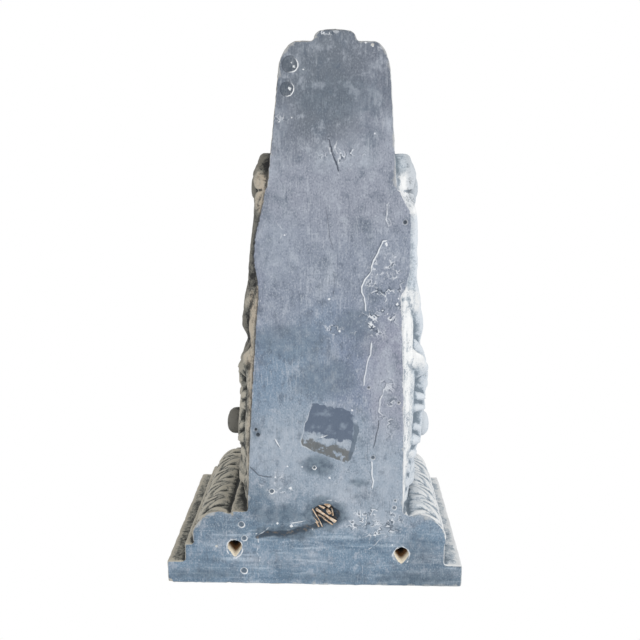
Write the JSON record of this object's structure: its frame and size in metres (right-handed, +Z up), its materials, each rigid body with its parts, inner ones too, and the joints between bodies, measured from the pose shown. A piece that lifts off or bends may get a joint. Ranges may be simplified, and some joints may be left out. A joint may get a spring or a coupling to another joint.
{
  "type": "acanthus corbel",
  "caption": "Cast acanthus corbel with a square-edged cap, leaf-cut moulding, S-scrolled sides and a lobed foot, hung flat against a wall by its back.",
  "frame": {"origin": "on the flat back, midway along the line between the two hanging holes and on the cap's middle", "axes": "+Y out of the flat back into the wall, -Y the way the front faces, +Z up towards the cap's top as it hangs, +X to the right seen from the front"},
  "size_m": [0.34, 0.25, 0.61],
  "materials": {
    "painted_casting": "matte antique paint on cast plaster composition: chalky slate blue-grey brushed over the back, with tan, olive and near-black patina worn to pale highlights on the carved sides and front"
  },
  "bodies": {
    "root": {"corbel": "painted_casting"}
  },
  "joints": []
}
